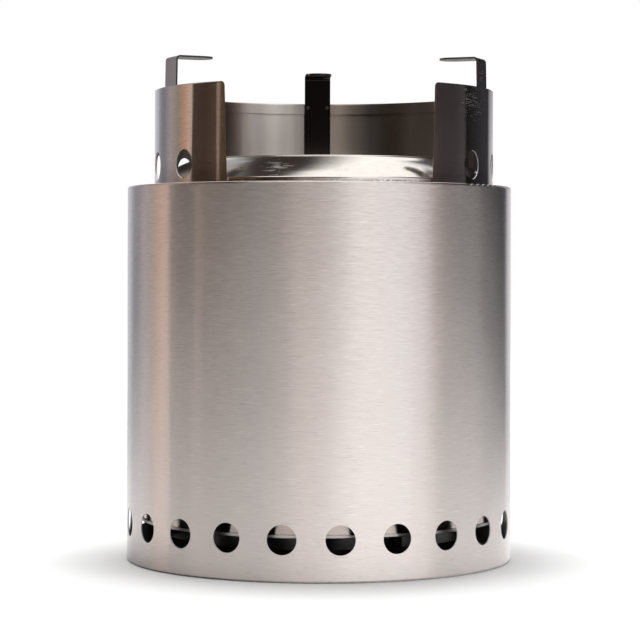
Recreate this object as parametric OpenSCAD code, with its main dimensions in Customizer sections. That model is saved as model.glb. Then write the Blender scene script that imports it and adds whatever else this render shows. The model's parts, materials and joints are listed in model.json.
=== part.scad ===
// Twig stove: a double-walled steel burner with a lift-off pot ring.
// The origin is the centre of the foot on the floor, with +Z up.
// The feed mouth of the pot ring faces -Y. All sizes are in millimetres.

/* [Body] */
// Outside diameter of the body
body_d = 177.8; // [150:0.1:210]
// Height of the body, from the floor to the crest of its rim
body_h = 171.8; // [140:0.1:220]
// Thickness of the sheet that the body and the pot ring are made of
sheet = 0.5; // [0.3:0.05:0.7]
// Width of the rounded bead that finishes the rim
bead_w = 2.2; // [1.8:0.1:4]
// Outer bend radius where the body wall turns in at the floor
foot_bend = 1; // [0.8:0.1:3]
// Width of the flat ring that the body stands on
foot_flange = 5; // [3:0.5:10]
// How far the base plate is raised inside the foot
base_lift = 3; // [1:0.5:6]

/* [Vent holes] */
// Diameter of the air holes round the foot
vent_d = 13; // [8:0.5:15]
// Height of the vent hole centres above the floor
vent_z = 18.4; // [15:0.1:28]
// Number of vent holes
vent_count = 22; // [12:1:24]
// Angle from the front to the nearest vent hole
vent_turn = 3.8; // [0:0.1:8]

/* [Firebox] */
// Width of the air gap between the body wall and the firebox wall
wall_gap = 6.8; // [5:0.1:12]
// Depth of the pot ring's seat below the rim crest
seat_depth = 2.2; // [2.1:0.1:5]
// Bend radius where the firebox wall turns out to make the seat
mouth_bend = 0.8; // [0.75:0.05:1]
// Height of the ash pan's underside above the floor
pan_z = 18.2; // [14:0.1:26]
// Height of the ash pan's outer lip
pan_lip = 1.5; // [1:0.1:3]
// Radius of the raised middle of the ash pan
pan_dish_r = 34; // [20:1:40]
// Height of the raised middle of the ash pan
pan_dish_h = 1.6; // [0.5:0.1:3]
// Diameter of the holes that let air in under the grate
draft_d = 9; // [5:0.5:10]
// Height of the draft hole centres above the ash pan
draft_rise = 11; // [8:0.5:14]
// Number of draft holes
draft_count = 22; // [12:1:28]
// Diameter of the heated-air holes under the rim
jet_d = 6; // [3:0.5:8]
// Distance of the jet hole centres below the seat
jet_drop = 12; // [8:0.5:20]
// Number of jet holes
jet_count = 28; // [12:1:40]

/* [Heat shield] */
// Radial distance from the firebox wall to the edge of the shield
shield_inset = 10; // [5:0.5:20]
// Distance of the shield below the ash pan
shield_drop = 9; // [6:0.5:11]
// Height of the shield's turned-up rim
shield_rim = 3; // [1:0.5:5]
// Diameter of the spacers that carry the shield
spacer_d = 6; // [4:0.5:10]
// Radial distance from the shield's edge to the spacers
spacer_inset = 24; // [15:1:28]
// Number of spacers
spacer_count = 4; // [3:1:6]
// Angle to the first spacer
spacer_turn = 45; // [0:5:90]

/* [Grate] */
// Diameter of the grate wire
wire_d = 2; // [1.5:0.1:3]
// Height of the spokes above the ash pan
grate_rise = 27; // [22:0.5:40]
// Radius of the innermost ring wire
hub_wire_r = 16; // [10:1:24]
// Gap between the outermost ring wire and the firebox wall
grate_edge = 4; // [2:0.5:8]
// Length that each spoke runs past the innermost ring wire
spoke_over = 4; // [2:0.5:6]
// Number of spokes, each with its own lug
spoke_count = 8; // [6:1:10]
// Width of a lug
lug_w = 8; // [5:0.5:12]
// Thickness of a lug
lug_t = 0.8; // [0.5:0.1:1.5]
// Reach of a lug's shelf from the firebox wall
lug_reach = 7; // [5:0.5:12]
// Height of a lug's welded leg
lug_h = 8; // [5:0.5:9]

/* [Pot ring] */
// Radial gap between the firebox wall and the pot ring's wall
ring_inset = 2.5; // [1:0.1:6]
// Height of the pot ring's top edge above the body rim
ring_rise = 44.4; // [30:0.1:70]
// How far the loose pot ring lies from the body's axis, towards +X
ring_shift = 2; // [0:0.1:2]
// Radial play of the pot ring's flange in its seat
seat_play = 2.3; // [2.3:0.1:3]
// Gap under the pot ring's flange
seat_gap = 0.3; // [0.1:0.05:0.5]
// Half angle of the feed mouth at the top edge
mouth_top_half = 35.9; // [25:0.1:45]
// Half angle of the feed mouth at the rim
mouth_foot_half = 34.8; // [25:0.1:45]
// Radius of the mouth's top corners
mouth_corner = 1.8; // [0.5:0.1:4]
// Height of the folded hem inside the top edge
hem_h = 5.2; // [3:0.1:10]
// Gap between the hem and the wall it is folded against
hem_gap = 0.2; // [0.1:0.05:0.6]
// Diameter of the holes round the pot ring
port_d = 13; // [8:0.5:16]
// Height of those holes above the body rim
port_rise = 9; // [8.5:0.1:20]
// Number of those holes
port_count = 12; // [6:2:14]
// Angle from the mouth's centre to the nearest of those holes
port_first = 55; // [50:0.5:62]

/* [Cone] */
// Height of the fold at the foot of the cone above the body rim
fold_rise = 1.6; // [0.5:0.1:4]
// Outer bend radius of that fold
fold_bend = 1.2; // [0.8:0.1:3]
// Radial distance from the pot ring's wall to the lip
cone_run = 18; // [10:0.5:28]
// Height of the lip's crest above the body rim
cone_rise = 12.4; // [8:0.1:20]
// How far the cone's face bulges from straight
cone_bulge = 0.9; // [0.3:0.1:2]
// Radius of the rolled bead along the lip
lip_bead = 0.6; // [0.4:0.05:1.2]

/* [Arms] */
// Width of the pot arms
arm_w = 12.7; // [8:0.1:18]
// Thickness of the pot arms
arm_t = 0.8; // [0.5:0.1:1.6]
// Height of the arm tabs above the pot ring's top edge
arm_rise = 13.7; // [6:0.1:30]
// Angle from the mouth's centre to each side arm
arm_angle = 66.4; // [60:0.1:75]
// Length of a tab, from the arm's outer face to the tip
tab_len = 21; // [12:0.5:35]
// Outer bend radius between an arm and its tab
arm_bend = 2; // [1.7:0.1:4]
// Height of an arm's foot above the fold of the cone
arm_foot_rise = 2; // [1.8:0.1:6]
// Diameter of the spot welds on the arms
weld_d = 1.8; // [1:0.1:2.4]
// Thickness of a weld's raised spot
weld_h = 0.2; // [0.1:0.05:0.4]
// Distance between the two welds of a pair
weld_pitch = 9.6; // [5:0.1:10]
// Distance of the upper welds below the pot ring's top edge
weld_drop = 1.9; // [1.5:0.1:3]
// Distance of the lower welds above an arm's foot
weld_foot = 5; // [3:0.5:10]
// Distance above the flange of the welds that hold the pot ring's wall to the skirt
skirt_weld_rise = 1.5; // [1.3:0.1:1.9]

/* [Hidden] */
$fn = 96;
// Gap between pieces that are welded or crimped together
join = 0.05;
// Margin that lets a cutter run past what it cuts
past = 3;
// Angle by which the mouth's cutter starts behind the mouth's edges
past_turn = 10;
// Angle by which the cone's arc laps the fold, so that the two are one sheet
lap_turn = 0.2;
grate_ring_count = 5;

body_r = body_d / 2;
shell_in = body_r - sheet;
bead_r = bead_w / 2;
seat_r = body_r - bead_w;
seat_z = body_h - seat_depth;
foot_in = body_r - foot_bend - foot_flange;
// How far a corner shifts between the two faces of a sheet that turns by 45 degrees
miter = sheet * tan(22.5);

fire_out = shell_in - wall_gap;
fire_in = fire_out - sheet;
pan_top = pan_z + sheet;
jet_z = seat_z - jet_drop;
draft_z = pan_z + draft_rise;

shield_r = fire_in - shield_inset;
shield_z = pan_z - shield_drop;

grate_z = pan_z + grate_rise;
edge_wire_r = fire_in - grate_edge - wire_d / 2;
shelf_top = grate_z - wire_d / 2 - join;
lug_back = chord_in(fire_in, lug_w) - join;
spoke_turn = 180 / spoke_count;

ring_r = fire_in - ring_inset;
ring_in = ring_r - sheet;
ring_top = body_h + ring_rise;
hem_in = ring_in - hem_gap - sheet;
hem_roll = (ring_r - hem_in) / 2;
flange_r = seat_r - seat_play;
flange_z = seat_z + seat_gap;
flange_top = flange_z + sheet;
skirt_out = ring_in - join;
fold_z = body_h + fold_rise;
lip_r = ring_r - cone_run;
lip_z = body_h + cone_rise;
port_step = (360 - 2 * port_first) / (port_count - 1);

arm_foot_z = fold_z + arm_foot_rise;
arm_top = ring_top + arm_rise;
arm_angles = [arm_angle, 180, -arm_angle];

// Where a flat piece of width w meets the inside of a round wall
function chord_in(r, w) = sqrt(r * r - w * w / 4);
// A length to the nearest hundredth of a millimetre
function set_out(v) = round(v * 100) / 100;
// A point at distance d from c in direction a
function polar(c, d, a) = c + d * [cos(a), sin(a)];

// One quarter of a bend in sheet: c is its centre, side and up are 1 or -1
module quarter_bend(c, outer, inner, side, up) {
    translate(c)
        intersection() {
            difference() {
                circle(outer);
                if (inner > 0) circle(inner);
            }
            translate([side > 0 ? 0 : -outer, up > 0 ? 0 : -outer])
                square(outer);
        }
}

// A piece of a bend between two angles that are less than 120 degrees apart
module bend_arc(c, outer, inner, a0, a1) {
    mid = (a0 + a1) / 2;
    intersection() {
        translate(c)
            difference() {
                circle(outer);
                circle(inner);
            }
        polygon([c, polar(c, 3 * outer, a0), polar(c, 3 * outer, mid), polar(c, 3 * outer, a1)]);
    }
}

// A rectangle in the radius and height plane
module band(r0, r1, z0, z1) {
    translate([r0, z0])
        square([r1 - r0, z1 - z0]);
}

// Copies of a piece round the Z axis, the first at angle first
module around(count, first = 0, step = 0) {
    turn = step == 0 ? 360 / count : step;
    for (i = [0 : count - 1])
        rotate([0, 0, first + i * turn])
            children();
}

// A round cutter along -Y that passes through a wall between two radii
module wall_cutter(d, r0, r1, z) {
    translate([0, -r0 + past, z])
        rotate([90, 0, 0])
            cylinder(d = d, h = r1 - r0 + 2 * past);
}

// Puts a piece of the pot ring where the loose ring lies
module on_ring() {
    translate([ring_shift, 0, 0])
        children();
}

// Body wall, with its rim bead rolled in and its foot turned under
module outer_shell() {
    color("#b9b0ab")
        difference() {
            rotate_extrude() {
                band(shell_in, body_r, foot_bend, body_h - bead_r);
                for (side = [-1, 1])
                    quarter_bend([body_r - bead_r, body_h - bead_r], bead_r, bead_r - sheet, side, 1);
                band(seat_r, seat_r + sheet, seat_z + join, body_h - bead_r);
                quarter_bend([body_r - foot_bend, foot_bend], foot_bend, foot_bend - sheet, 1, -1);
                band(foot_in, body_r - foot_bend, 0, sheet);
            }
            around(vent_count, vent_turn)
                wall_cutter(vent_d, shell_in, body_r, vent_z);
        }
}

// Floor plate, pressed up in the middle and held on the foot ring
module base_plate() {
    low = sheet + join;
    high = low + base_lift;
    edge = body_r - foot_bend;
    step = foot_in - join;
    color("#8f8a86")
        rotate_extrude()
            polygon([
                [0, high],
                [step - base_lift, high],
                [step, low],
                [edge, low],
                [edge, low + sheet],
                [step + miter, low + sheet],
                [step - base_lift + miter, high + sheet],
                [0, high + sheet]
            ]);
}

// Dished disc that keeps the fire's heat off the floor plate
module heat_shield() {
    color("#9a948f")
        rotate_extrude() {
            band(0, shield_r - sheet, shield_z - sheet, shield_z);
            quarter_bend([shield_r - sheet, shield_z], sheet, 0, 1, -1);
            band(shield_r - sheet, shield_r, shield_z, shield_z + shield_rim);
        }
}

// Studs between the ash pan and the heat shield
module shield_spacers() {
    color("#7d7873")
        around(spacer_count, spacer_turn)
            translate([shield_r - spacer_inset, 0, shield_z + join])
                cylinder(d = spacer_d, h = shield_drop - 2 * join);
}

// Floor of the firebox, with a lip that wraps the foot of the firebox wall
module ash_pan() {
    wrap = fire_out + join;
    color("#8d8781")
        rotate_extrude() {
            polygon([
                [0, pan_z + pan_dish_h],
                [pan_dish_r - pan_dish_h, pan_z + pan_dish_h],
                [pan_dish_r, pan_z],
                [wrap, pan_z],
                [wrap, pan_top],
                [pan_dish_r + miter, pan_top],
                [pan_dish_r - pan_dish_h + miter, pan_top + pan_dish_h],
                [0, pan_top + pan_dish_h]
            ]);
            quarter_bend([wrap, pan_top], sheet, 0, 1, -1);
            band(wrap, wrap + sheet, pan_top, pan_z + pan_lip);
        }
}

// Inner wall, turned out at the top to make the seat under the rim bead
module firebox_wall() {
    color("#a39c96")
        difference() {
            rotate_extrude() {
                band(fire_in, fire_out, pan_top + join, seat_z - mouth_bend);
                quarter_bend([fire_in + mouth_bend, seat_z - mouth_bend],
                             mouth_bend, mouth_bend - sheet, -1, 1);
                band(fire_in + mouth_bend, shell_in - join, seat_z - sheet, seat_z);
            }
            around(jet_count)
                wall_cutter(jet_d, fire_in, fire_out, jet_z);
            around(draft_count, vent_turn)
                wall_cutter(draft_d, fire_in, fire_out, draft_z);
        }
}

// Brackets on the firebox wall, one under each spoke of the grate
module grate_lugs() {
    color("#8d8781")
        around(spoke_count, spoke_turn)
            translate([0, -lug_w / 2, 0])
                union() {
                    translate([fire_in - lug_reach, 0, shelf_top - lug_t])
                        cube([lug_back - fire_in + lug_reach, lug_w, lug_t]);
                    translate([lug_back - lug_t, 0, shelf_top - lug_h])
                        cube([lug_t, lug_w, lug_h]);
                }
}

// Straight wires under the ring wires
module grate_spokes() {
    from = hub_wire_r - spoke_over;
    to = lug_back - lug_t - join;
    color("#6f6863")
        around(spoke_count, spoke_turn)
            translate([from, 0, grate_z])
                rotate([0, 90, 0])
                    cylinder(d = wire_d, h = to - from);
}

// One ring wire of the grate, counted from the middle
module grate_ring(i) {
    step = (edge_wire_r - hub_wire_r) / (grate_ring_count - 1);
    color("#6f6863")
        rotate_extrude()
            translate([hub_wire_r + (i - 1) * step, grate_z + wire_d + join])
                circle(d = wire_d);
}

// Cutter for the feed mouth: wider at the top, with rounded top corners
module mouth_cutter() {
    top = ring_r * sin(mouth_top_half);
    foot = ring_r * sin(mouth_foot_half);
    slope = (top - foot) / ring_rise;
    low = foot - slope * past;
    high = top + slope * past;
    translate([0, past - ring_r * cos(mouth_top_half + past_turn), 0])
        rotate([90, 0, 0])
            linear_extrude(ring_r)
                union() {
                    polygon([
                        [-low, body_h - seat_depth - past],
                        [low, body_h - seat_depth - past],
                        [high, ring_top + past],
                        [-high, ring_top + past]
                    ]);
                    for (side = [-1, 1])
                        translate([side * (top + mouth_corner), ring_top - mouth_corner])
                            difference() {
                                translate([side > 0 ? -2 * mouth_corner : 0, 0])
                                    square([2 * mouth_corner, mouth_corner + past]);
                                circle(mouth_corner);
                                translate([side > 0 ? 0 : -mouth_corner, 0])
                                    square([mouth_corner, mouth_corner]);
                            }
                }
}

// Pot ring wall, with its top edge folded inside, its feed mouth and its holes
module ring_wall() {
    hem_z = ring_top - hem_roll;
    color("#a8a09a")
        on_ring()
            difference() {
                rotate_extrude() {
                    band(ring_in, ring_r, flange_top + join, hem_z);
                    for (side = [-1, 1])
                        quarter_bend([ring_r - hem_roll, hem_z], hem_roll, hem_roll - sheet, side, 1);
                    band(hem_in, hem_in + sheet, ring_top - hem_h, hem_z);
                }
                mouth_cutter();
                around(port_count, port_first, port_step)
                    wall_cutter(port_d, ring_in, ring_r, body_h + port_rise);
            }
}

// Pressed base of the pot ring: flange, skirt, fold, bulged cone and rolled lip
module ring_cone() {
    fold = [skirt_out - fold_bend, fold_z];
    bead = [lip_r + lip_bead, lip_z - lip_bead];
    // The cone's middle line runs from the end of the fold to the bead
    chord_aim = bead - fold;
    chord_rise = atan2(chord_aim[1], -chord_aim[0]);
    chord_len = norm(chord_aim);
    half = 2 * atan(2 * cone_bulge / chord_len);
    near = polar(fold, fold_bend - sheet / 2, 90 - chord_rise - half);
    turn = atan2(bead[1] - near[1], bead[0] - near[0]) - half - 90;
    start = polar(fold, fold_bend - sheet / 2, turn);
    run = bead - start;
    run_len = norm(run);
    arc_r = run_len / (2 * sin(half));
    arc_aim = atan2(run[1], run[0]) - 90;
    centre = (start + bead) / 2 - arc_r * cos(half) * [cos(arc_aim), sin(arc_aim)];
    a0 = atan2(start[1] - centre[1], start[0] - centre[0]);
    a1 = atan2(bead[1] - centre[1], bead[0] - centre[0]);
    color("#d8d3cf")
        on_ring()
            rotate_extrude() {
                band(skirt_out, flange_r, flange_z, flange_top);
                quarter_bend([skirt_out, flange_top], sheet, 0, -1, -1);
                band(skirt_out - sheet, skirt_out, flange_top, fold_z);
                bend_arc(fold, fold_bend, fold_bend - sheet, 0, turn);
                bend_arc(centre, arc_r + sheet / 2, arc_r - sheet / 2, a0 - lap_turn, a1);
                translate(bead)
                    circle(lip_bead);
            }
}

// Spot welds that hold the pot ring's wall to the cone's skirt, halfway between the holes
module skirt_welds() {
    color("#5f5853")
        on_ring()
            around(port_count - 1, port_first + port_step / 2, port_step)
                translate([0, -ring_r - join, flange_top + skirt_weld_rise])
                    rotate([90, 0, 0])
                        cylinder(d = weld_d, h = weld_h);
}

// One pot arm: a strip up the inside of the pot ring, bent to a level tab
module arm(angle) {
    foot = [chord_in(ring_in, arm_w) - join, arm_foot_z];
    rest = [chord_in(hem_in, arm_w) - join, ring_top - hem_h];
    lean = atan2(foot[0] - rest[0], rest[1] - foot[1]);
    out = [cos(lean), sin(lean)];
    bend_z = arm_top - arm_bend;
    rise = (bend_z + arm_bend * sin(lean) - foot[1]) / cos(lean);
    knee = foot + rise * [-sin(lean), cos(lean)];
    centre = [set_out(knee[0] - arm_bend * out[0]), bend_z];
    tip = set_out(foot[0] - tab_len);
    rotate([0, 0, angle - 90])
        union() {
            translate([0, arm_w / 2, 0])
                rotate([90, 0, 0])
                    linear_extrude(arm_w)
                        union() {
                            polygon([
                                foot,
                                polar(centre, arm_bend, lean),
                                polar(centre, arm_bend - arm_t, lean),
                                foot - arm_t * out
                            ]);
                            bend_arc(centre, arm_bend, arm_bend - arm_t, lean, 90);
                        }
            translate([0, 0, arm_top - arm_t])
                linear_extrude(arm_t)
                    union() {
                        translate([tip + arm_w / 2, 0])
                            circle(d = arm_w);
                        translate([tip + arm_w / 2, -arm_w / 2])
                            square([centre[0] - tip - arm_w / 2, arm_w]);
                    }
        }
}

module arm_in_place(angle) {
    color("#8a827c")
        on_ring()
            arm(angle);
}

// Spot welds that hold the arms to the hem and to the wall
module arm_welds() {
    foot = [chord_in(ring_in, arm_w) - join, arm_foot_z];
    rest = [chord_in(hem_in, arm_w) - join, ring_top - hem_h];
    lean = atan2(foot[0] - rest[0], rest[1] - foot[1]);
    high = (ring_top - weld_drop - foot[1]) / cos(lean);
    color("#5f5853")
        on_ring()
            for (angle = arm_angles, z = [weld_foot, high], side = [-1, 1])
                rotate([0, 0, angle - 90])
                    translate([foot[0], 0, foot[1]])
                        rotate([0, -lean, 0])
                            translate([-arm_t - join - weld_h, side * weld_pitch / 2, z])
                                rotate([0, 90, 0])
                                    cylinder(d = weld_d, h = weld_h);
}

outer_shell();
base_plate();
heat_shield();
shield_spacers();
ash_pan();
firebox_wall();
grate_lugs();
grate_spokes();
grate_ring(1);  // grate_ring_1
grate_ring(2);  // grate_ring_2
grate_ring(3);  // grate_ring_3
grate_ring(4);  // grate_ring_4
grate_ring(5);  // grate_ring_5
ring_wall();
ring_cone();
skirt_welds();
arm_in_place(arm_angle);  // arm_right
arm_in_place(180);  // arm_back
arm_in_place(-arm_angle);  // arm_left
arm_welds();
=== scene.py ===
# %% [markdown]
# # A twig stove in brushed stainless steel
#
# The stove is a double-walled can. Air comes in through the row of holes round its foot, and a loose
# ring on top holds the pot. All of it is thin stainless sheet that was rolled, pressed and spot welded,
# so almost nothing here has a colour of its own: what the eye reads as "steel" is the room, mirrored
# and smeared by the scratches of the brushing belt. That makes this a lesson about two things, the
# scratches and the studio round them.
#
# The solid pieces come packed from the CAD model. They are loaded first, and nothing below moves them.

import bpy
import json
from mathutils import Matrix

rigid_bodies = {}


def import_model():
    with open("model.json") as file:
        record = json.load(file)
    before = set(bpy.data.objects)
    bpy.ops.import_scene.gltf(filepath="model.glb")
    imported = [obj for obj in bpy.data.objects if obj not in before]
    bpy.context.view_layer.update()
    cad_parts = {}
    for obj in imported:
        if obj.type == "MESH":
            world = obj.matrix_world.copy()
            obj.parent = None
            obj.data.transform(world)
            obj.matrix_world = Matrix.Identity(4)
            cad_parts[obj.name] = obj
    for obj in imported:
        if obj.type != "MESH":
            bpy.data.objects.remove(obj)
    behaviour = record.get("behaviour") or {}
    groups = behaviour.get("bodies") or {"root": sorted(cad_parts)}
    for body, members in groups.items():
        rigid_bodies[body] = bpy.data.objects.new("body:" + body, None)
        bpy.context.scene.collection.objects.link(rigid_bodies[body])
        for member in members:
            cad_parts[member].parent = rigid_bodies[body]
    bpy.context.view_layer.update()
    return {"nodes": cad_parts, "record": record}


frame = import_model()

# %% [markdown]
# ## Colours
#
# Colours are written as sRGB hex values, because that is how a paint chart or a colour picker gives
# them. Blender mixes light in linear values, so one function turns the first into the second.

# %% From hex to linear
import math

import bpy
import numpy as np


def linear(hex_colour, alpha=1.0):
    """sRGB hex to linear: below 0.04045 divide by 12.92, above it take the 2.4 power curve."""
    channels = np.array([int(hex_colour[i:i + 2], 16) / 255 for i in (0, 2, 4)])
    low = channels / 12.92
    high = ((channels + 0.055) / 1.055) ** 2.4
    return (*np.where(channels <= 0.04045, low, high).tolist(), alpha)


print("mid grey 808080 in linear:", round(linear("808080")[0], 4))

# %% [markdown]
# ## Nodes
#
# Every material is a small graph of nodes. One function adds a node, sets its options and fills its
# sockets, each with a plain value or with the output of another node. Because it gives back an output,
# calls can be chained: what one node makes is what the next one takes.
#
# The node that shapes nearly every pattern below is the map range. It reads a value between two ends and
# gives back a number between two others. So four numbers tell all about it: the two ends, and what comes
# out at each.

# %% The one helper for nodes
MATH = "ShaderNodeMath"
RANGE = "ShaderNodeMapRange"
VECTOR = "ShaderNodeVectorMath"
PARTS = "ShaderNodeSeparateXYZ"
PATH = "ShaderNodeLightPath"
MIX = "ShaderNodeMix"


def add(tree, kind, inputs=(), output=0, **options):
    """Adds one node and returns one of its outputs.

    inputs are values or links, in the order of the sockets or by their names, and options are settings.
    """
    node = tree.nodes.new(kind)
    for name, value in options.items():
        setattr(node, name, value)
    for name, value in inputs.items() if isinstance(inputs, dict) else enumerate(inputs):
        if isinstance(value, bpy.types.NodeSocket):
            tree.links.new(value, node.inputs[name])
        else:
            node.inputs[name].default_value = value
    return node.outputs[output] if node.outputs else None


def bare_material(name):
    """A new material and its graph, which starts empty."""
    material = bpy.data.materials.new(name)
    material.use_nodes = True
    material.node_tree.nodes.clear()
    return material, material.node_tree


print("kinds of node with a short name:", MATH, RANGE, VECTOR, PARTS, PATH, MIX)

# %% [markdown]
# ## The camera
#
# A product photographer stands back and uses a long lens, so that a round body keeps nearly straight
# sides. The camera here is level, a little over a metre away and 136 mm above the table, which is below
# the rim: that is why the inside can't be seen. Level means that upright edges stay upright, and the
# frame is moved down by lens shift instead of by tilting. It stands a little to the left of straight
# before the stove, so that the feed mouth points just past the right side of the lens.

# %% Place the camera
# Metres from the stove's axis, and metres above the table
CAMERA_DISTANCE = 1.0444
CAMERA_HEIGHT = 0.1361
CAMERA_TURN = math.radians(2.3)
CAMERA_ROLL = math.radians(0.14)
FOCAL_LENGTH, SENSOR_WIDTH = 126.2, 36
SHIFT_RIGHT, SHIFT_DOWN = 0.0012, 0.0869

scene = bpy.context.scene
lens = bpy.data.cameras.new("camera")
lens.sensor_width = SENSOR_WIDTH
lens.lens = FOCAL_LENGTH
lens.shift_x = SHIFT_RIGHT
lens.shift_y = -SHIFT_DOWN
camera = bpy.data.objects.new("camera", lens)
camera.location = (
    -CAMERA_DISTANCE * math.sin(CAMERA_TURN),
    -CAMERA_DISTANCE * math.cos(CAMERA_TURN),
    CAMERA_HEIGHT,
)
camera.rotation_euler = (math.pi / 2, -CAMERA_ROLL, -CAMERA_TURN)
scene.collection.objects.link(camera)
scene.camera = camera
scene.view_settings.view_transform = "Standard"
print("field of view in degrees:", round(math.degrees(lens.angle), 2))

# %% [markdown]
# ## The table
#
# The stove stands on a table painted matt white. Everything round the stove is a flat or curved sheet, so
# one function makes them all: it takes a grid of points and joins each four neighbours to a face. A
# diffuse table alone never comes out pure white to the camera without flooding the object with light, so
# the table adds a little light of its own, but only where the camera or a reflection looks at it. The
# lamp still draws the stove's soft contact shadow.

# %% The table's mesh
TABLE_HALF = 4.0
TABLE_LINES = 3


def grid_object(name, points):
    """A surface from an (n, m, 3) array of points. Each cell of the grid becomes one four-sided face."""
    rows, columns = points.shape[:2]
    index = np.arange(rows * columns).reshape(rows, columns)
    faces = np.stack([index[:-1, :-1], index[1:, :-1], index[1:, 1:], index[:-1, 1:]], axis=-1)
    mesh = bpy.data.meshes.new(name)
    mesh.from_pydata(points.reshape(-1, 3).tolist(), [], faces.reshape(-1, 4).tolist())
    mesh.update()
    item = bpy.data.objects.new(name, mesh)
    scene.collection.objects.link(item)
    return item


side = np.linspace(-TABLE_HALF, TABLE_HALF, TABLE_LINES)
table_x, table_y = np.meshgrid(side, side, indexing="ij")
table = grid_object("table_top", np.stack([table_x, table_y, 0 * table_x], axis=-1))
print("table faces:", len(table.data.polygons))

# %% Who sees the glow
# Diffuse depth counts the matt things that a ray has left, so it is 0 or at least 1
BEFORE_MATT = 0.5


def seen_or_mirrored(tree):
    """1 where the camera, a mirror or a glass looks, and 0 for the light that falls on matt things."""
    camera_ray = add(tree, PATH, output="Is Camera Ray")
    glossy_ray = add(tree, PATH, output="Is Glossy Ray")
    glass_ray = add(tree, PATH, output="Is Transmission Ray")
    mirrored = add(tree, MATH, (camera_ray, glossy_ray), operation="MAXIMUM")
    looked_at = add(tree, MATH, (mirrored, glass_ray), operation="MAXIMUM")
    depth = add(tree, PATH, output="Diffuse Depth")
    direct = add(tree, MATH, (depth, BEFORE_MATT), operation="LESS_THAN")
    return add(tree, MATH, (looked_at, direct), operation="MULTIPLY")


print("rays that see the glow:", ["camera", "glossy", "transmission"])

# %% The table's paint
# The glow against the distance from the stove in metres, and in mirrors against how far the direction
# from the stove agrees with the direction of the large softbox: -1 is away from it, 1 is towards it
GLOW_AT_STOVE = 0.1
GLOW_FROM, GLOW_FULL = 0.14, 1.6
MIRRORED_GLOW = (-0.3, 1.0, 0.0, 0.45)
SOFTBOX_TURN = math.radians(42)
SOFTBOX_AIM = (math.sin(SOFTBOX_TURN), -math.cos(SOFTBOX_TURN), 0.0)


def white_table():
    """Matt white paint, with a glow that rises away from the stove for the camera.

    In mirrors the glow follows the direction instead: most where the table lies before the large softbox.
    """
    material, tree = bare_material("matt_white_table")
    paint = add(tree, "ShaderNodeBsdfDiffuse", {"Color": linear("E8E8E8")})
    place = add(tree, "ShaderNodeTexCoord", output="Object")
    away = add(tree, VECTOR, (place,), output="Value", operation="LENGTH")
    rise = add(tree, RANGE, (away, GLOW_FROM, GLOW_FULL, GLOW_AT_STOVE, 1.0))
    direction = add(tree, VECTOR, (place,), operation="NORMALIZE")
    facing = add(tree, VECTOR, (direction, SOFTBOX_AIM), output="Value", operation="DOT_PRODUCT")
    lit = add(tree, RANGE, (facing, *MIRRORED_GLOW))
    glossy_ray = add(tree, PATH, output="Is Glossy Ray")
    chosen = add(tree, MIX, {0: glossy_ray, 2: rise, 3: lit}, data_type="FLOAT")
    strength = add(tree, MATH, (seen_or_mirrored(tree), chosen), operation="MULTIPLY")
    glow = add(tree, "ShaderNodeEmission", {"Color": linear("FFFFFF"), "Strength": strength})
    both = add(tree, "ShaderNodeAddShader", (paint, glow))
    add(tree, "ShaderNodeOutputMaterial", {"Surface": both})
    return material


table.data.materials.append(white_table())
print("glow of the table from", GLOW_AT_STOVE, "to 1.0 at", GLOW_FULL, "m")

# %% [markdown]
# ## The white room
#
# Behind the table there is only white. The room is the world's background: pure white for the camera and
# in reflections, and a faint, even light for everything else, so that no shadow turns black.

# %% Room
ROOM_LIGHT = 0.19

world = bpy.data.worlds.new("white_room")
scene.world = world
world.use_nodes = True
world.node_tree.nodes.clear()
level = add(world.node_tree, RANGE, (seen_or_mirrored(world.node_tree), 0.0, 1.0, ROOM_LIGHT, 1.0))
room = add(world.node_tree, "ShaderNodeBackground", {"Color": linear("FFFFFF"), "Strength": level})
add(world.node_tree, "ShaderNodeOutputWorld", {"Surface": room})
print("light of the room on matt things:", ROOM_LIGHT)

# %% [markdown]
# ## The lamp
#
# One large square lamp hangs over the table. It is large so that the shadow under the foot has no hard
# edge, and it is hidden from reflections, because the cards of the next step decide what the steel
# mirrors. Its power is worked out from how bright the table should look.

# %% Overhead lamp
LAMP_SIDE = 0.6
LAMP_PLACE = (0.0, 0.1, 1.5)
# How bright the table should look, and the share of the light that its paint gives back
TABLE_LEVEL = 0.93
TABLE_PAINT = 0.8

lamp = bpy.data.lights.new("overhead_softbox", "AREA")
lamp.shape = "SQUARE"
lamp.size = LAMP_SIDE
lamp.energy = (math.pi * LAMP_PLACE[2]) ** 2 * TABLE_LEVEL / TABLE_PAINT
overhead = bpy.data.objects.new("overhead_softbox", lamp)
overhead.location = LAMP_PLACE
overhead.visible_camera = False
overhead.visible_glossy = False
scene.collection.objects.link(overhead)
print("lamp energy in watts:", round(lamp.energy, 1))

# %% [markdown]
# ## The cards
#
# Steel is photographed by choosing what it mirrors. Tall cards of cloth and paper stand in a ring round
# the table: dark drapes give the dark bands that make a can look round, and a large softbox in front to
# the right gives the broad light band. Behind the stove the ring is open to the white room.
#
# The ring is one sheet: a point on it is a function of its direction round the table and its height. Its
# brightness is a table of directions, blended from one to the next. Only reflections see the cards, so
# they neither stand in the picture nor shade the table.

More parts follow.
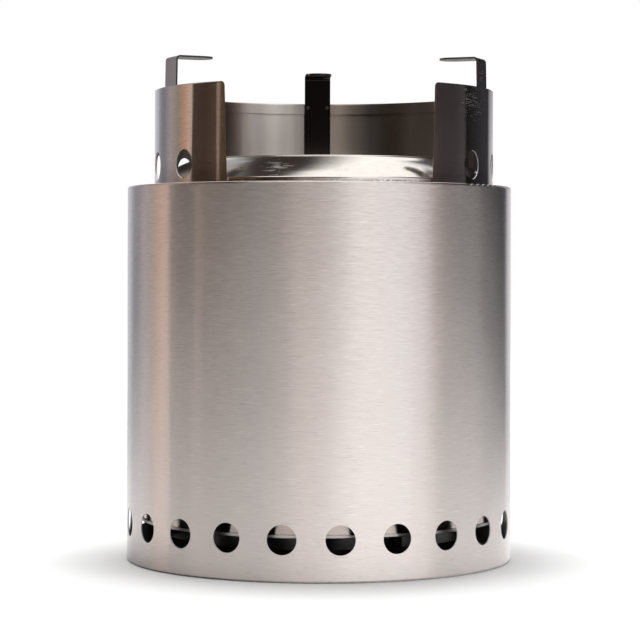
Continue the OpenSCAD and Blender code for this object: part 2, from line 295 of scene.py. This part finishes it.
# %% The cards, from left to right
# Directions of a card's two edges in degrees from the front, counted towards the right, and the colour
# at each edge. Between two cards one colour runs over into the next.
CARDS = {
    "left muslin": (-165, -149, "E0E2E8", "BBBDC5"),
    "grey drape": (-140, -134, "8B8C95", "8A868E"),
    "linen cloth": (-124, -113, "ABA4A5", "A09189"),
    "peach paper": (-105.5, -98.5, "C8A184", "D5BDB4"),
    "dark drape": (-96.5, -84, "4C3F38", "493A33"),
    "brown drape": (-77, -74.4, "53453B", "52443A"),
    "pale strip": (-73.5, -72.1, "9C8678", "9C8678"),
    "wide brown drape": (-71.4, -48.6, "584536", "493626"),
    "thin pale strip": (-47.6, -46.6, "745E4F", "745E4F"),
    "last brown drape": (-45.8, -36, "453424", "3E2C1E"),
    "softbox shade": (-23, -4, "7A665A", "D2C4BC"),
    "large softbox": (9, 45, "F6F2F2", "F5F4F6"),
    "softbox fringe": (56, 60, "E0DCDF", "C9C3C5"),
    "grey flag": (65, 71, "938481", "64524C"),
    "brown flag": (78, 91, "4F4A4A", "534F50"),
    "narrow gap": (99, 100, "615D5D", "615D5D"),
    "black velvet": (103, 137, "201D1D", "404046"),
    "right muslin": (143, 160, "C8C8CE", "F4F4F6"),
}
# Dark cloths hung before the cards, above the level of the lens: the directions of their edges, how much
# of the light behind them they take away, and how softly they end. The first one hides the camera.
CLOTHS = [(-14, 14, 0.9, 11), (-48, -16, 0.8, 8), (24, 60, 0.12, 8), (72, 104, 0.45, 4)]
print("cards:", len(CARDS), "cloths before them:", len(CLOTHS))

# %% How a card glows
def glowing_card():
    """Cloth or paper lit from the front: it shows the colour that is stored at each point."""
    material, tree = bare_material("lit_card")
    stored = add(tree, "ShaderNodeAttribute", output="Color", attribute_name="card")
    glow = add(tree, "ShaderNodeEmission", {"Color": stored, "Strength": 1.0})
    add(tree, "ShaderNodeOutputMaterial", {"Surface": glow})
    return material


def hang_card(item, colours):
    """Stores a linear colour for each point, and keeps the card out of the picture and of the lamp's way."""
    layer = item.data.color_attributes.new("card", "FLOAT_COLOR", "POINT")
    rgba = np.concatenate([colours.reshape(-1, 3), np.ones((colours.size // 3, 1))], axis=1)
    layer.data.foreach_set("color", rgba.astype(np.float32).ravel())
    item.visible_camera = False
    item.visible_diffuse = False
    item.visible_shadow = False
    item.data.materials.append(card_cloth)


card_cloth = glowing_card()
print("material of the cards:", card_cloth.name)

# %% The ring's sheet
CARD_RADIUS = 0.62
STEPS_PER_DEGREE = 2
# Rows of points as lowest, highest and how many. They stand closest where the cloths begin
ROWS = [(0, 0.18, 4), (0.185, 0.225, 11), (0.25, 0.95, 36)]

stops = np.array([edge for card in CARDS.values() for edge in card[:2]], dtype=float)
shades = np.array([linear(colour)[:3] for card in CARDS.values() for colour in card[2:]])
turn = np.linspace(stops[0], stops[-1], int(STEPS_PER_DEGREE * (stops[-1] - stops[0])) + 1)
height = np.concatenate([np.linspace(*row) for row in ROWS])
angle = np.radians(turn)[:, None] + 0 * height
card_ring = grid_object("ring_of_cards", np.stack([
    CARD_RADIUS * np.sin(angle), -CARD_RADIUS * np.cos(angle), height + 0 * angle], axis=-1))
print("ring faces:", len(card_ring.data.polygons))

# %% Light and shade on the ring
# The cards on the left lean: their upper part stands this many degrees nearer to the front
LEAN = 2.0
LEAN_RISE, LEAN_TURN = (0.185, 0.215), (80, 96)
# The heights over which a cloth comes in at its foot and ends at its top
CLOTH_FOOT, CLOTH_TOP = (0.188, 0.204), (0.55, 0.65)
# The two muslins behind the stove are lit from below. Upwards they lose this share of their light, from
# the first turn and height to the second. The right one is lit again over the heights of RIGHT_AGAIN
RIGHT_DUSK = 0.92
RIGHT_TURN, RIGHT_RISE, RIGHT_AGAIN = (128, 138), (0.16, 0.38), (0.66, 0.73)
LEFT_DUSK = 0.45
LEFT_TURN, LEFT_RISE = (138, 146), (0.32, 0.5)


def smooth(value, low, high):
    """0 below low, 1 above high, and 3 t squared minus 2 t cubed between them."""
    t = np.clip((value - low) / (high - low), 0, 1)
    return t * t * (3 - 2 * t)


lean = LEAN * smooth(height, *LEAN_RISE) * smooth(-turn, *LEAN_TURN)[:, None]
ring_shade = np.stack([np.interp(turn[:, None] - lean, stops, shades[:, k]) for k in range(3)], axis=-1)
cloth_up = smooth(height, *CLOTH_FOOT) * (1 - smooth(height, *CLOTH_TOP))
covered = np.zeros((len(turn), len(height)))
for left, right, share, fade in CLOTHS:
    across = smooth(turn, left - fade, left + fade) * (1 - smooth(turn, right - fade, right + fade))
    covered = np.maximum(covered, share * across[:, None] * cloth_up)
right_dusk = RIGHT_DUSK * smooth(turn, *RIGHT_TURN)[:, None] * smooth(height, *RIGHT_RISE)
right_dusk = right_dusk * (1 - smooth(height, *RIGHT_AGAIN))
left_dusk = LEFT_DUSK * smooth(-turn, *LEFT_TURN)[:, None] * smooth(height, *LEFT_RISE)
covered = np.maximum(covered, np.maximum(right_dusk, left_dusk))
hang_card(card_ring, ring_shade * (1 - covered[..., None]))
print("share of the ring in shade:", round(float((covered > 0.5).mean()), 2))

# %% [markdown]
# ## The ceiling
#
# The pressed cone leans back, so it doesn't look at the ring of cards but up past the lamp. A dark ceiling
# with a softbox in it gives the cone its long bright sweep and the dark fields beside it. The box's edges
# slant, which is what bends the sweep. Far behind, the pale back wall shows over the box.

# %% Ceiling card
CEILING_LEVEL = 0.78
# Lines of the ceiling's grid as lowest, highest and how many, across and to the back
ACROSS, BACK = (-0.62, 0.62, 125), (-0.62, 1.9, 127)

ceiling_x, ceiling_y = np.meshgrid(np.linspace(*ACROSS), np.linspace(*BACK), indexing="ij")
ceiling = grid_object("ceiling_card", np.stack(
    [ceiling_x, ceiling_y, CEILING_LEVEL + 0 * ceiling_x], axis=-1))
print("ceiling faces:", len(ceiling.data.polygons))

# %% The softbox in the ceiling
# Each edge is a list of places, given as metres to the back and metres to the right. The left edge
# slants to the right as it runs back, and the right edge slants to the left. After each list comes how
# softly that edge ends, in metres
LEFT_EDGE = [(-0.15, -0.42), (-0.03, -0.25), (0.07, -0.11), (0.16, 0.0), (0.33, 0.045), (0.60, 0.07)]
LEFT_SOFT = 0.08
RIGHT_EDGE = [(0.30, 0.385), (0.37, 0.365), (0.46, 0.345), (0.57, 0.325), (0.73, 0.297), (0.90, 0.287)]
RIGHT_SOFT = 0.015


def along(places):
    """Reads a list of (metres to the back, value) at every point of the ceiling."""
    return np.interp(ceiling_y, *zip(*places))


panel = smooth(ceiling_x - along(LEFT_EDGE), -LEFT_SOFT, LEFT_SOFT)
panel = panel * smooth(along(RIGHT_EDGE) - ceiling_x, -RIGHT_SOFT, RIGHT_SOFT)
print("share of the ceiling that the softbox takes:", round(float((panel > 0.5).mean()), 2))

# %% The walls over the softbox
# The back wall comes up in two steps, each a share of its light and the metres to the back between which
# it rises. It ends on the right at WALL_END
WALL_STEPS = [(0.6, 0.78, 1.08), (0.4, 1.1, 1.4)]
WALL_END, WALL_SOFT = 0.295, 0.02
# The left wall against the metres to the back: its light, and how far to the left it starts
LEFT_LIGHT = [
    (0.20, 0.05), (0.30, 0.16), (0.37, 0.24), (0.46, 0.32), (0.70, 0.38), (0.95, 0.40), (1.30, 0.50)]
LEFT_START = [(0.30, 0.25), (0.40, 0.235), (0.60, 0.20), (0.80, 0.165)]
START_SOFT = 0.05
# The softbox is a little brighter than white
SOFTBOX_LEVEL = 1.12

back_wall = sum(share * smooth(ceiling_y, start, end) for share, start, end in WALL_STEPS)
back_wall = back_wall * smooth(WALL_END - ceiling_x, -WALL_SOFT, WALL_SOFT)
left_wall = along(LEFT_LIGHT) * smooth(-ceiling_x - along(LEFT_START), -START_SOFT, START_SOFT)
light = np.maximum(panel, np.maximum(back_wall, left_wall))[..., None]
ceiling_dark = np.array(linear("36302E")[:3])
ceiling_white = SOFTBOX_LEVEL * np.array(linear("FFFEFB")[:3])
hang_card(ceiling, ceiling_dark + light * (ceiling_white - ceiling_dark))
print("mean light of the ceiling:", round(float(light.mean()), 2))

# %% [markdown]
# ## Brushed stainless steel
#
# Stainless 304 comes from the mill dull, and a belt of grit 180 to 240 gives it its grain. The belt runs
# one way, so the scratches lie in lines, here round the can. Along a scratch the metal stays a mirror,
# and across it the light spreads widely. That is anisotropic roughness, and it stretches every
# reflection up and down the wall while its sides stay sharp.
#
# The grain itself is drawn as noise that is stretched along the lay. Real scratches are about 0.05 mm
# wide. They are drawn about half a millimetre wide here, because finer ones would only flicker.

# %% Noise stretched into dashes
MM = 1000.0
# Extent of one dash along X, Y and Z in millimetres
ROUND = (5.0, 5.0, 0.42)
UPRIGHT = (0.45, 0.45, 8.0)
PRESSED = (6.0, 6.0, 1.5)
ROLLED = (1.2, 9.0, 1.2)
DASH = (6.5, 6.5, 0.5)


def streaks(tree, place, size, shift, detail=2.0):
    """Noise drawn out into dashes; size is their extent along X, Y and Z in millimetres.

    Each pattern has its own shift, so that no two of them coincide. detail adds finer noise on top.
    """
    spread = add(tree, "ShaderNodeMapping", {
        "Vector": place, "Location": (shift, shift, shift), "Scale": tuple(MM / extent for extent in size)})
    return add(tree, "ShaderNodeTexNoise", {"Vector": spread, "Scale": 1.0, "Detail": detail})


print("dashes of the belt in mm:", ROUND)

# %% [markdown]
# ## Which way a face looks
#
# One sheet shows different skins on its two sides: the belt reaches the outside, and the fire the inside.
# The height of a point and the direction of its face are enough to tell them apart, so no face has to be
# picked by hand. The pot ring stands 2 mm to the right on its seat, and its axis with it. For the body
# that makes no difference that could be seen.

# %% Faces that look at the axis
RING_SHIFT = 0.002
# The line drawn between two kinds of face: 1 looks straight along a direction and 0 looks across it
HALF_WAY = 0.5


def outward_share(tree, place):
    """Normal times the level direction away from the axis: 1 straight out, -1 straight in, 0 up or along."""
    centred = add(tree, VECTOR, (place, (RING_SHIFT, 0, 0)), operation="SUBTRACT")
    level = add(tree, VECTOR, (centred, (1, 1, 0)), operation="MULTIPLY")
    outward = add(tree, VECTOR, (level,), operation="NORMALIZE")
    normal = add(tree, "ShaderNodeNewGeometry", output="True Normal")
    return add(tree, VECTOR, (normal, outward), output="Value", operation="DOT_PRODUCT")


def looks_inward(tree, place):
    """1 on faces that look towards the axis."""
    return add(tree, MATH, (outward_share(tree, place), -HALF_WAY), operation="LESS_THAN")


print("the ring's axis stands to the right by mm:", RING_SHIFT * MM)

# %% [markdown]
# ## Soot, smoke and painted shade
#
# The stove has been lit a few times, and smoke has tinted the inside of its firebox. The other dark marks
# here are painted shade: on the plates below the ash pan, in the fold where the cone meets its skirt and
# where it runs under the wall, and on the arms' faces that look at the fire, where it also stands for the
# dark they mirror. Inside the pot ring the back arm gets painted shade beside it, and the ring is darker on
# its two sides and towards its wall's foot. Each of these is a share between 0 and 1 that says how much of
# the soot colour covers the steel, worked out from where the point lies.

# %% Dark sides and painted arm shade in the pot ring
# The colour of soot, which also paints the shade in the ring, on the cone, on the arms, below the pan and at
# the body's foot
SOOT_AND_SHADE_COLOUR = "2A2320"
# Each is two places along X, or for the wall's foot two heights, in metres, and the dark share at each
DARK_LEFT_INSIDE = (-0.044, -0.035, 0.5, 0.0)
# Painted shade of the back arm on the ring's inner wall, just left of the arm
ARM_SHADE_ON_WALL = (-0.019, -0.009, 0.0, 0.5)
DARK_RIGHT_INSIDE = (0.006, 0.028, 0.0, 0.72)
DARK_TOWARDS_FOOT = (0.1705, 0.183, 0.4, 0.0)


def dark_sides_and_arm_shade_in_ring(tree, place):
    """Darker inside the pot ring's two sides and towards its wall's foot, with painted shade beside its back
    arm.
    """
    x = add(tree, PARTS, (place,), output="X")
    left = add(tree, RANGE, (x, *DARK_LEFT_INSIDE))
    right = add(tree, RANGE, (x, *DARK_RIGHT_INSIDE))
    up_to_arm = add(tree, RANGE, (x, *ARM_SHADE_ON_WALL))
    before_axis = add(tree, MATH, (x, 0.0), operation="LESS_THAN")
    beside_arm = add(tree, MATH, (up_to_arm, before_axis), operation="MULTIPLY")
    sides = add(tree, MATH, (left, right), operation="MAXIMUM")
    sides = add(tree, MATH, (sides, beside_arm), operation="MAXIMUM")
    inside = add(tree, MATH, (looks_inward(tree, place), sides), operation="MULTIPLY")
    foot = add(tree, RANGE, (add(tree, PARTS, (place,), output="Z"), *DARK_TOWARDS_FOOT))
    return add(tree, MATH, (inside, foot), operation="MAXIMUM")


print("colour of soot:", SOOT_AND_SHADE_COLOUR)

# %% Painted shade on the cone
# The painted shade comes in over the first two heights and goes out over the second two
SKIRT_FOOT = (0.1704, 0.1708, 0.0, 1.0)
SKIRT_TOP = (0.1722, 0.1734, 1.0, 0.0)
# It is lighter in the middle of the cone than at its sides, and patches leave gaps in it
SHADE_ASIDE = (0.010, 0.030, 0.35, 0.9)
SHADE_PATCH = (1.4, 1.4, 0.8)
SHADE_GAPS = (0.42, 0.52, 0.3, 1.0)
SHADE_UNDER_WALL = (0.050, 0.056, 0.0, 0.85)


def painted_shade_on_cone(tree, place):
    """Painted shade in the cone's fold over its skirt, made patchy, and where the cone runs under the wall
    on the right.
    """
    x = add(tree, PARTS, (place,), output="X")
    z = add(tree, PARTS, (place,), output="Z")
    below = add(tree, RANGE, (z, *SKIRT_TOP))
    skirt = add(tree, MATH, (below, add(tree, RANGE, (z, *SKIRT_FOOT))), operation="MULTIPLY")
    aside = add(tree, MATH, (x,), operation="ABSOLUTE")
    sides = add(tree, RANGE, (aside, *SHADE_ASIDE))
    patches = add(tree, RANGE, (streaks(tree, place, SHADE_PATCH, shift=3.0), *SHADE_GAPS))
    fold = add(tree, MATH, (skirt, sides), operation="MULTIPLY")
    fold = add(tree, MATH, (fold, patches), operation="MULTIPLY")
    under_wall = add(tree, RANGE, (x, *SHADE_UNDER_WALL))
    return add(tree, MATH, (fold, under_wall), operation="MAXIMUM")


print("the stain lies between mm:", SKIRT_FOOT[0] * MM, SKIRT_TOP[1] * MM)

# %% Smoke in the firebox, and painted shade on the arms and under the pan
# The extent of one cloud in millimetres, its soot against the noise, and all the soot against the height
SMOKE_CLOUD = (28, 28, 40)
SMOKE_DENSITY = (0.35, 0.65, 0.15, 0.75)
SMOKE_RISE = (0.04, 0.12, 0.6, 1.0)
# Painted shade on the arms against the outward share of their faces, and below the pan against the height
ARM_SHADE = (-0.8, -0.4, 0.95, 0.0)
PAN_FLOOR = (0.0178, 0.0184, 0.96, 0.0)


def smoke_in_firebox(tree, place):
    """Smoke on the inside of the firebox wall, in clouds, thinner just above the grate."""
    noise = streaks(tree, place, SMOKE_CLOUD, shift=5.0, detail=4.0)
    clouds = add(tree, RANGE, (noise, *SMOKE_DENSITY))
    rise = add(tree, RANGE, (add(tree, PARTS, (place,), output="Z"), *SMOKE_RISE))
    risen = add(tree, MATH, (clouds, rise), operation="MULTIPLY")
    return add(tree, MATH, (looks_inward(tree, place), risen), operation="MULTIPLY")


def painted_shade_on_arms(tree, place):
    """Painted shade on the faces of the arms that look at the fire, standing for the shade and the dark
    inside that they mirror.
    """
    return add(tree, RANGE, (outward_share(tree, place), *ARM_SHADE))


def painted_shade_below_pan(tree, place):
    """Painted shade: the plates below the ash pan's floor are made nearly black."""
    return add(tree, RANGE, (add(tree, PARTS, (place,), output="Z"), *PAN_FLOOR))


print("the plates are black below mm:", PAN_FLOOR[0] * MM)

# %% [markdown]
# ## Seams, cut edges and rubs
#
# The body is a strip rolled into a tube and butt welded, so one upright seam runs down its back. Its foot
# gets painted shade. Where a sheet was cut, its narrow edge is rough, because shears tear the metal
# instead of polishing it. On the body and the ring it is pale, and on the arms soot has darkened it.
# Handling leaves short pale rubs, which the picture shows on the right side of the ring, on the right arm
# and on the cone.

# %% Seam and painted shade at the foot
# The seam against the distance from the middle plane, where it is full and where it ends
SEAM_HALF = (0.0004, 0.0009, 0.28, 0.0)
# Painted contact shadow where the body turns in to its foot: against the height, and less of it to the right
FOOT_SHADOW, FOOT_SHADOW_SIDE = (0.0005, 0.0011, 1.0, 0.0), (-0.05, 0.02, 0.9, 0.3)
# Painted shade low on the wall, for the shaded table that it mirrors: against the height, and only on the
# far left
MIRRORED_SHADE, MIRRORED_SHADE_SIDE = (0.001, 0.018, 0.45, 0.0), (-0.085, -0.055, 1.0, 0.0)


def seam_and_painted_foot_shade(tree, place):
    """The body's welded seam at the back, and painted shade round its foot and low on its left."""
    x = add(tree, PARTS, (place,), output="X")
    z = add(tree, PARTS, (place,), output="Z")
    at_back = add(tree, MATH, (add(tree, PARTS, (place,), output="Y"), 0.0), operation="GREATER_THAN")
    line = add(tree, RANGE, (add(tree, MATH, (x,), operation="ABSOLUTE"), *SEAM_HALF))
    seam = add(tree, MATH, (line, at_back), operation="MULTIPLY")
    corner = add(tree, RANGE, (z, *FOOT_SHADOW))
    contact_shadow = add(tree, MATH, (corner, add(tree, RANGE, (x, *FOOT_SHADOW_SIDE))), operation="MULTIPLY")
    low = add(tree, RANGE, (z, *MIRRORED_SHADE))
    mirrored_shade_low = add(tree, MATH, (low, add(tree, RANGE, (x, *MIRRORED_SHADE_SIDE))), operation="MULTIPLY")
    foot = add(tree, MATH, (contact_shadow, mirrored_shade_low), operation="MAXIMUM")
    return add(tree, MATH, (seam, foot), operation="MAXIMUM")


print("seam at the back, in mm wide:", 2 * SEAM_HALF[1] * MM)

# %% Cut edges
HEM_ROLL = 0.215


def cut_edges(tree, place):
    """1 on narrow faces that look along the wall, or that look up or down below the ring's rolled hem.

    The test is the size of the outward share, which is near 0 on a cut edge.
    """
    size = add(tree, MATH, (outward_share(tree, place),), operation="ABSOLUTE")
    narrow = add(tree, MATH, (size, HALF_WAY), operation="LESS_THAN")
    normal = add(tree, "ShaderNodeNewGeometry", output="True Normal")
    lift = add(tree, MATH, (add(tree, PARTS, (normal,), output="Z"),), operation="ABSOLUTE")
    upright = add(tree, MATH, (lift, HALF_WAY), operation="LESS_THAN")
    below_hem = add(tree, MATH, (add(tree, PARTS, (place,), output="Z"), HEM_ROLL), operation="LESS_THAN")
    either = add(tree, MATH, (below_hem, upright), operation="MAXIMUM")
    return add(tree, MATH, (narrow, either), operation="MULTIPLY")


print("height of the ring's hem in mm:", HEM_ROLL * MM)

# %% Rubs
RUB = (6.0, 6.0, 0.5)
# What is added to the noise at the centre and at the end of the reach, and which tops are kept
RUB_RAISE = (0.16, -0.25)
RUB_TOPS = (0.58, 0.74)


def rubs_near(tree, place, centre, reach, share):
    """Short pale rubs about one point: stretched noise, raised near the centre, with only its tops kept."""
    offset = add(tree, VECTOR, (place, centre), operation="SUBTRACT")
    away = add(tree, VECTOR, (offset,), output="Value", operation="LENGTH")
    raise_by = add(tree, RANGE, (away, 0.0, reach, *RUB_RAISE))
    noise = streaks(tree, place, RUB, shift=11.0, detail=1.0)
    raised = add(tree, MATH, (noise, raise_by), operation="ADD")
    return add(tree, RANGE, (raised, *RUB_TOPS, 0.0, share))


print("rubs in mm:", RUB)

# %% [markdown]
# ## One recipe for every steel
#
# All the pieces are the same metal, so one function builds all the finishes: a colour, a fine grain, a few
# deeper scratches, slow clouds from the belt's uneven pressure, and then what use has added on top. The
# scratches also go into a bump of a few hundredths of a millimetre. Flat strips and discs take the true
# normal of their faces, because the mesh carries normals that were smoothed round its corners.

# %% The recipe: colour
# The noise stays mostly between these two values
NOISE_LOW, NOISE_HIGH = 0.3, 0.7
# The grain shows more towards the top, where hands and pots rub. Below WORN_FROM only a share is left
WORN_FROM, WORN_FULL = 0.06, 0.165
GRAIN_BELOW = 0.22
# The deeper scratches are sparse: only the noise's highest and lowest spots count
PALE_SPOTS, DARK_SPOTS = (0.64, 0.72), (0.28, 0.36)
CLOUD = (45, 45, 60)


def steel_colour(tree, place, colour, size, scratch, contrast, marks, cloud):
    """The colour times three patterns near 1: the grain, the deeper scratches and the slow clouds."""
    height_here = add(tree, PARTS, (place,), output="Z")
    worn = add(tree, RANGE, (height_here, WORN_FROM, WORN_FULL, GRAIN_BELOW * contrast, contrast))
    noise = streaks(tree, place, size, shift=0.0)
    fine = add(tree, RANGE, (noise, NOISE_LOW, NOISE_HIGH, -1.0, 1.0))
    grain = add(tree, MATH, (fine, worn, 1.0), operation="MULTIPLY_ADD")
    scratches = streaks(tree, place, scratch, shift=7.0, detail=1.0)
    pale = add(tree, RANGE, (scratches, *PALE_SPOTS, 0.0, marks))
    dark = add(tree, RANGE, (scratches, *DARK_SPOTS, 1.0 - marks, 1.0))
    clouds = streaks(tree, place, CLOUD, shift=2.0, detail=4.0)
    shade = add(tree, RANGE, (clouds, NOISE_LOW, NOISE_HIGH, 1 - cloud, 1 + cloud))
    marked = add(tree, MATH, (pale, dark), operation="ADD")
    level = add(tree, MATH, (grain, marked), operation="MULTIPLY")
    level = add(tree, MATH, (level, shade), operation="MULTIPLY")
    toned = add(tree, VECTOR, {0: linear(colour)[:3], "Scale": level}, operation="SCALE")
    return toned, scratches, clouds


print("the grain shows in full above mm:", WORN_FULL * MM)

# %% The recipe: layers
RUB_COLOUR, RUB_ROUGHNESS = "D6D0C8", 0.55
# Torn metal scatters light like chalk, so on a cut edge only this share shines as metal
CUT_ROUGHNESS, CUT_METAL = 0.6, 0.25


def layers(tree, place, soot_and_shade, edge, rubbed, inner):
    """What lies over the bare grain, from the bottom up: the inner side, soot and painted shade, rubs and
    cut edges.

    Each layer is a share, a colour and a roughness. Soot and painted shade keep the roughness of the steel
    under it.
    """
    if inner:
        yield looks_inward(tree, place), linear(inner[0]), inner[1]
    if soot_and_shade:
        yield soot_and_shade(tree, place), linear(SOOT_AND_SHADE_COLOUR), None
    if rubbed:
        yield rubs_near(tree, place, *rubbed), linear(RUB_COLOUR), RUB_ROUGHNESS
    if edge:
        yield cut_edges(tree, place), linear(edge), CUT_ROUGHNESS


print("roughness of a rubbed spot:", RUB_ROUGHNESS)

# %% The recipe: the whole material
# The clouds change the roughness too, by this share up and down
UNEVEN = 0.08
# The smoother a finish is, the shallower are its scratches: millimetres at a roughness of 1
RELIEF_DEPTH, RELIEF_STRENGTH = 0.2, 0.6
# A quarter of a turn lays the stretched reflections up and down the wall
LAY = 0.25


def steel(name, colour, roughness, size, scratch=DASH, anisotropy=0.0, contrast=0.05, marks=0.1, cloud=0.05,
          soot_and_shade=None, flat=False, edge=None, rubbed=None, inner=None):
    """Steel with a grain of dashes of the given size.

    contrast, marks and cloud say how far the grain, the scratches and the clouds leave the plain colour.
    The share of soot and painted shade comes from the function given for them, and inner is the colour and
    roughness of the side that looks at the axis.
    edge is the colour of cut edges, rubbed places the pale rubs, and flat takes the faces' true normals.
    """
    material, tree = bare_material(name)
    place = add(tree, "ShaderNodeTexCoord", output="Object")
    toned, scratches, clouds = steel_colour(tree, place, colour, size, scratch, contrast, marks, cloud)
    low, high = roughness * (1 - UNEVEN), roughness * (1 + UNEVEN)
    rough = add(tree, RANGE, (clouds, NOISE_LOW, NOISE_HIGH, low, high))
    # A mix node keeps a share in socket 0. It takes two numbers in 2 and 3, and two colours in 6 and 7
    for share, layer_colour, layer_rough in layers(tree, place, soot_and_shade, edge, rubbed, inner):
        toned = add(tree, MIX, {0: share, 6: toned, 7: layer_colour}, output=2, data_type="RGBA")
        if layer_rough is not None:
            rough = add(tree, MIX, {0: share, 2: rough, 3: layer_rough}, data_type="FLOAT")
    metal = add(tree, RANGE, (cut_edges(tree, place), 0.0, 1.0, 1.0, CUT_METAL)) if edge else 1.0
    depth = RELIEF_DEPTH * roughness / MM
    relief = {"Height": scratches, "Strength": RELIEF_STRENGTH, "Distance": depth}
    if flat:
        relief["Normal"] = add(tree, "ShaderNodeNewGeometry", output="True Normal")
    surface = add(tree, "ShaderNodeBsdfPrincipled", {
        "Base Color": toned, "Metallic": metal, "Roughness": rough, "Anisotropic": anisotropy,
        "Anisotropic Rotation": LAY, "Normal": add(tree, "ShaderNodeBump", relief)})
    add(tree, "ShaderNodeOutputMaterial", {"Surface": surface})
    return material


finishes = {}
print("recipe ready, finishes so far:", len(finishes))

# %% [markdown]
# ## The body
#
# The body is rolled from a brushed sheet, with the grain running round the can. Its inside is given a
# darker colour.

# %% Body
# The body's foot gets painted shade along with its seam.
finishes["shell_steel"] = steel(
    "brushed_304_body", colour="E6DEDA", roughness=0.30, size=ROUND, anisotropy=1.0, contrast=0.09,
    marks=0.10, cloud=0.04, soot_and_shade=seam_and_painted_foot_shade, edge="F4F0EC", inner=("625A56", 0.3))
print("body:", finishes["shell_steel"].name)

# %% [markdown]
# ## The pot ring
#
# The pot ring is rolled from the same sheet, but it mirrors far more sharply than the body. Its belt was
# finer, or many hands have polished it. Its inside was brushed coarsely and is given a near white colour,
# which is painted light.

# %% Pot ring
# Centre of the rubs, their reach in metres and the share of steel that they hide
RING_RUBS = ((0.068, -0.043, 0.211), 0.026, 0.5)

# The near white inner colour is painted light, for the light that bounces round inside the ring.
finishes["ring_steel"] = steel(
    "brushed_304_pot_ring", colour="D8D2CE", roughness=0.11, size=ROUND, anisotropy=1.0, marks=0.12,
    soot_and_shade=dark_sides_and_arm_shade_in_ring, edge="F4F0EC", rubbed=RING_RUBS, inner=("FFF6EE", 0.3))
print("pot ring:", finishes["ring_steel"].name)

# %% [markdown]
# ## The cone and the arms
#
# The cone is pressed in one stroke between polished dies, so it has no lay and shines almost like chrome.
# The arms are strips cut from thicker sheet. Their grain runs up the strip, and soot has darkened their
# sheared edges.

# %% Cone and arms
CONE_SCRATCH = (4.0, 4.0, 1.2)
CONE_RUBS = ((-0.021, -0.0675, 0.1785), 0.013, 0.8)
ARM_RUBS = ((0.0725, -0.031, 0.224), 0.016, 0.5)

finishes["cone_steel"] = steel(
    "bright_pressed_cone", colour="F2ECE7", roughness=0.13, size=PRESSED, scratch=CONE_SCRATCH,
    contrast=0.03, marks=0.06, soot_and_shade=painted_shade_on_cone, rubbed=CONE_RUBS)
# The arms' faces that look at the fire get painted shade.
finishes["arm_steel"] = steel(
    "sheared_strip", colour="C8C2BE", roughness=0.07, size=UPRIGHT, scratch=UPRIGHT, cloud=0.06,
    soot_and_shade=painted_shade_on_arms, flat=True, edge="4A4441", rubbed=ARM_RUBS)
print("cone and arms:", finishes["cone_steel"].name, finishes["arm_steel"].name)

# %% [markdown]
# ## The firebox, the plates and the grate
#
# The firebox wall is brushed like the body but stands in the smoke. The plates under it keep the satin
# skin that the rolling mill left, with its faint lines along one direction. The grate is drawn wire that
# has been red hot, so it has gone grey and dull. The spot welds are small dull dimples, a little darker
# than the sheet.

# %% Firebox, plates, grate and welds
DIMPLE = (0.6, 0.6, 0.6)

finishes["firebox_steel"] = steel(
    "brushed_304_firebox", colour="C8BCB6", roughness=0.26, size=ROUND, anisotropy=1.0, contrast=0.06,
    cloud=0.06, soot_and_shade=smoke_in_firebox)
# Below the ash pan's floor these plates are made nearly black as painted shade.
finishes["inner_steel"] = steel(
    "mill_finish_plate", colour="BDB8B4", roughness=0.4, size=ROLLED, scratch=ROLLED, contrast=0.06,
    cloud=0.08, soot_and_shade=painted_shade_below_pan, flat=True)
finishes["grate_wire"] = steel(
    "drawn_wire", colour="8C8680", roughness=0.35, size=ROLLED, scratch=ROLLED, contrast=0.06, cloud=0.08)
finishes["weld_spots"] = steel(
    "spot_weld", colour="5A5450", roughness=0.45, size=DIMPLE, scratch=DIMPLE, contrast=0.2, cloud=0.1)
print("all finishes:", len(finishes))

# %% [markdown]
# ## Dressing the pieces
#
# The record says which finish each piece takes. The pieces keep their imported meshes, which are already as
# thin as the real sheet, so a finish is all that they need.

# %% Give each piece its finish
for row in frame["record"]["subparts"]:
    piece = frame["nodes"][row["node"]]
    piece.data.materials.clear()
    piece.data.materials.append(finishes[row["material_slot"]])

# %% [markdown]
# ## The end
#
# Nothing was added to the stove.

# %% A last import
import json
